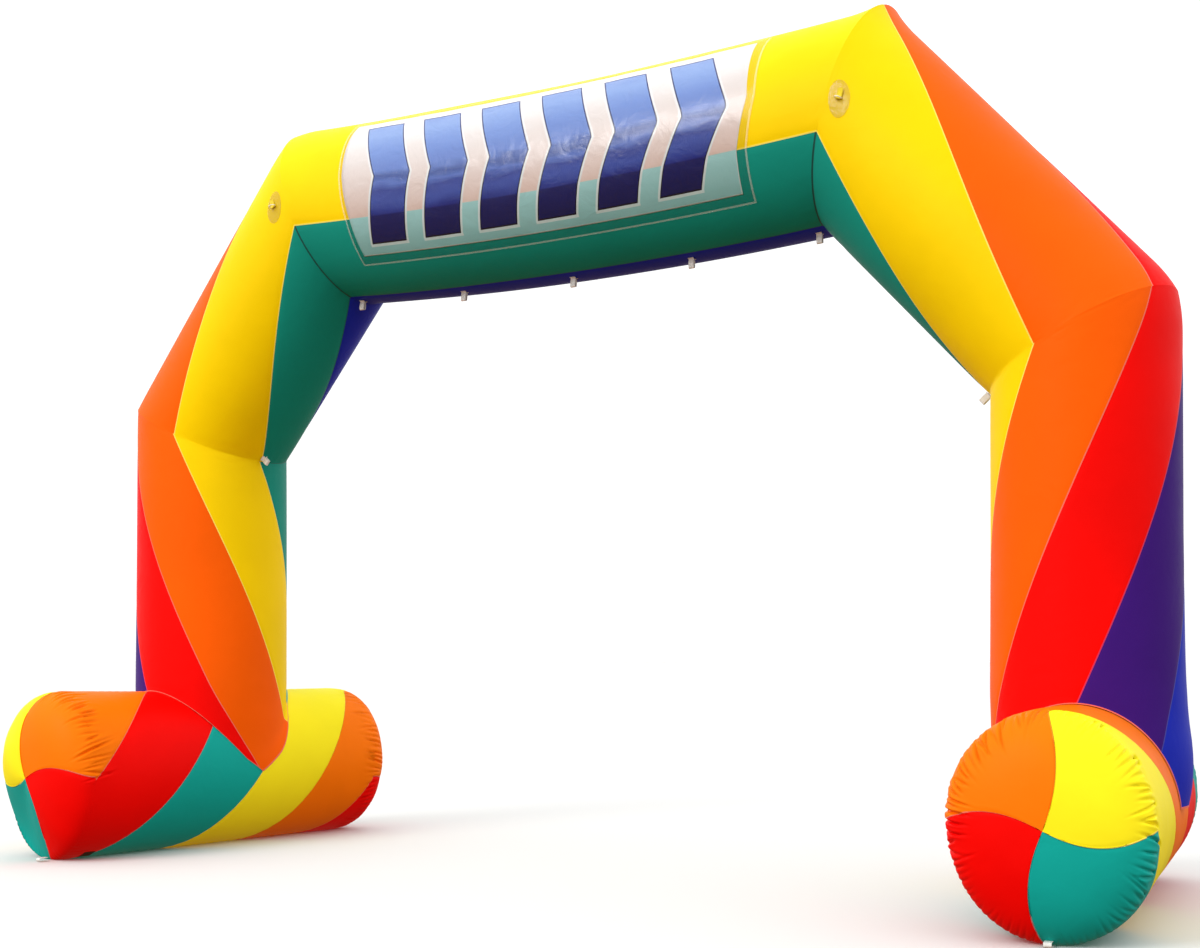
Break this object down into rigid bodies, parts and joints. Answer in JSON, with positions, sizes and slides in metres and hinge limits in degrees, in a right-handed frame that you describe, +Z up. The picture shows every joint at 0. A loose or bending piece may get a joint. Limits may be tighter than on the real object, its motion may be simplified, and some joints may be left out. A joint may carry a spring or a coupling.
{
  "type": "inflatable event arch",
  "caption": "Free-standing air-filled event arch: spiral-striped tube legs on round ground tubes, mitred knees and shoulders, and a banner under a clear cover on the beam.",
  "frame": {"origin": "on the ground, in the middle of the arch's width and depth", "axes": "+X along the arch's width towards the right leg, +Y from the banner side to the back, +Z up"},
  "size_m": [6.047, 2.1964, 4.0348],
  "materials": {
    "coated_fabric_orange": "airtight coated polyester with a soft sheen",
    "coated_fabric_red": "airtight coated polyester with a soft sheen",
    "coated_fabric_yellow": "airtight coated polyester with a soft sheen",
    "coated_fabric_teal": "airtight coated polyester with a soft sheen",
    "printed_banner_vinyl": "printed, slightly translucent sheet vinyl",
    "clear_vinyl": "clear, glossy flexible sheet",
    "white_webbing": "woven narrow tape, matte",
    "dark_patch": "dark woven reinforcing patch, matte"
  },
  "bodies": {
    "root": {"base_tube_left": "coated_fabric_red", "base_tube_right": "coated_fabric_red", "base_cap_left_front": "coated_fabric_teal", "base_cap_left_back": "coated_fabric_teal", "base_cap_right_front": "coated_fabric_teal", "base_cap_right_back": "coated_fabric_teal", "leg_left": "coated_fabric_orange", "leg_right": "coated_fabric_orange", "diagonal_left": "coated_fabric_orange", "diagonal_right": "coated_fabric_orange", "beam": "coated_fabric_yellow", "banner": "printed_banner_vinyl", "banner_cover": "clear_vinyl", "anchor_patch_left": "clear_vinyl", "anchor_patch_right": "clear_vinyl", "anchor_strap_left": "coated_fabric_yellow", "anchor_strap_right": "coated_fabric_yellow", "anchor_ring_left": "white_webbing", "anchor_ring_right": "white_webbing", "beam_loop_1": "white_webbing", "beam_loop_2": "white_webbing", "beam_loop_3": "white_webbing", "beam_loop_4": "white_webbing", "beam_loop_5": "white_webbing", "knee_loop_left": "white_webbing", "knee_loop_right": "white_webbing", "ground_loop_left": "white_webbing", "ground_loop_right": "white_webbing", "ground_patch_left": "dark_patch", "ground_patch_right": "dark_patch"}
  },
  "joints": []
}
